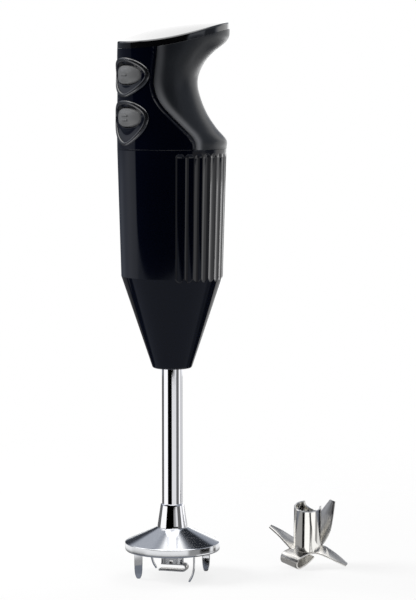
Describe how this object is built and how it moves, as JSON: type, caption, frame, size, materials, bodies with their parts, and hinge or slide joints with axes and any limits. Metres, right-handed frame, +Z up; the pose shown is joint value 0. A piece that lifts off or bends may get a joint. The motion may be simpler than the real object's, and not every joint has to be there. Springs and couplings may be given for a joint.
{
  "type": "immersion blender",
  "caption": "Upright hand blender with ribbed black body, rear neck grip, two push buttons, chrome shaft, legged bell guard, and a loose winged blade beside it.",
  "frame": {"origin": "on the drive axis, at the plane of the guard's leg tips", "axes": "+Z up along the drive axis, -Y towards the buttons at the front, +Y towards the overhanging lip at the back"},
  "size_m": [0.0762, 0.1402, 0.3398],
  "materials": {
    "gloss_black": "high gloss black moulding",
    "grip_grey": "satin dark grey moulding",
    "rim_black": "satin black",
    "button_grey": "satin grey",
    "chrome": "polished chrome",
    "satin_steel": "turned and satin-brushed stainless steel",
    "ground_steel": "ground steel",
    "spring_steel": "bright spring wire",
    "rubber_black": "matt black rubber",
    "board_green": "green circuit board",
    "switch_blue": "dark blue moulding",
    "capacitor_yellow": "yellow moulded box",
    "terminal_white": "off-white moulding",
    "lamination": "stacked sheet iron",
    "copper": "enamelled copper",
    "cast_aluminium": "die-cast aluminium",
    "brass": "brass and sintered bronze",
    "carbon": "pressed carbon",
    "moulded_dark": "dark moulded plastic"
  },
  "bodies": {
    "housing": {"lower_housing": "gloss_black", "upper_housing": "gloss_black", "rear_grip_cover": "grip_grey", "top_cap": "gloss_black", "button_surround": "rim_black", "cable_gland": "rubber_black", "circuit_board": "board_green", "upper_microswitch": "switch_blue", "lower_microswitch": "switch_blue", "suppression_capacitor": "capacitor_yellow", "terminal_block": "terminal_white", "stator_core": "lamination", "field_windings": "copper", "upper_bearing_bracket": "cast_aluminium", "lower_bearing_bracket": "cast_aluminium", "upper_motor_mount": "rubber_black", "lower_motor_mount": "rubber_black", "motor_screws": "ground_steel", "brush_holders": "brass", "carbon_brushes": "carbon", "brush_springs": "spring_steel", "upper_bearing_outer_ring": "ground_steel", "lower_bearing_outer_ring": "ground_steel", "shaft_tube": "chrome", "tube_flange": "ground_steel", "upper_shaft_bush": "brass", "lower_shaft_bush": "brass", "shaft_seal": "rubber_black", "guard_collar": "chrome", "guard_bell": "satin_steel", "guard_legs": "satin_steel"},
    "rotor": {"armature_shaft": "ground_steel", "armature_core": "lamination", "armature_windings": "copper", "commutator": "copper", "cooling_fan": "moulded_dark", "upper_bearing_inner_ring": "ground_steel", "lower_bearing_inner_ring": "ground_steel", "shaft_coupling": "moulded_dark", "drive_shaft": "ground_steel", "drive_nose": "ground_steel", "drive_pin": "ground_steel"},
    "bearing_balls": {"upper_bearing_balls": "ground_steel", "lower_bearing_balls": "ground_steel"},
    "upper_button": {"upper_button": "button_grey", "upper_button_spring": "spring_steel", "upper_switch_plunger": "terminal_white"},
    "lower_button": {"lower_button": "button_grey", "lower_button_spring": "spring_steel", "lower_switch_plunger": "terminal_white"},
    "attachment": {"attachment_hub": "satin_steel", "attachment_strip": "satin_steel"},
    "loose_blade": {"loose_blade_hub": "satin_steel", "loose_blade_wings": "satin_steel"}
  },
  "joints": [
    {"name": "drive_spin", "type": "hinge", "parent": "housing", "child": "rotor", "pos_m": [0, 0, 0.2], "axis": [0, 0, 1], "continuous": true},
    {"name": "bearing_cage_spin", "type": "hinge", "parent": "housing", "child": "bearing_balls", "pos_m": [0, 0, 0.2], "axis": [0, 0, 1], "continuous": true},
    {"name": "upper_button_press", "type": "slide", "parent": "housing", "child": "upper_button", "axis": [0, 1, 0], "range_m": [0, 0.0015], "stiffness_N_per_m": 900, "springref_m": -0.001, "deforming": ["upper_button_spring"]},
    {"name": "lower_button_press", "type": "slide", "parent": "housing", "child": "lower_button", "axis": [0, 1, 0], "range_m": [0, 0.0015], "stiffness_N_per_m": 900, "springref_m": -0.001, "deforming": ["lower_button_spring"]},
    {"name": "attachment_pull", "type": "slide", "parent": "rotor", "child": "attachment", "axis": [0, 0, -1], "range_m": [0, 0.018]},
    {"name": "loose_blade_lift", "type": "slide", "parent": "housing", "child": "loose_blade", "axis": [0, 0, 1], "range_m": [0, 0.06]}
  ],
  "couplings": [
    {"joint": "bearing_cage_spin", "follows": "drive_spin", "ratio": 0.371}
  ]
}
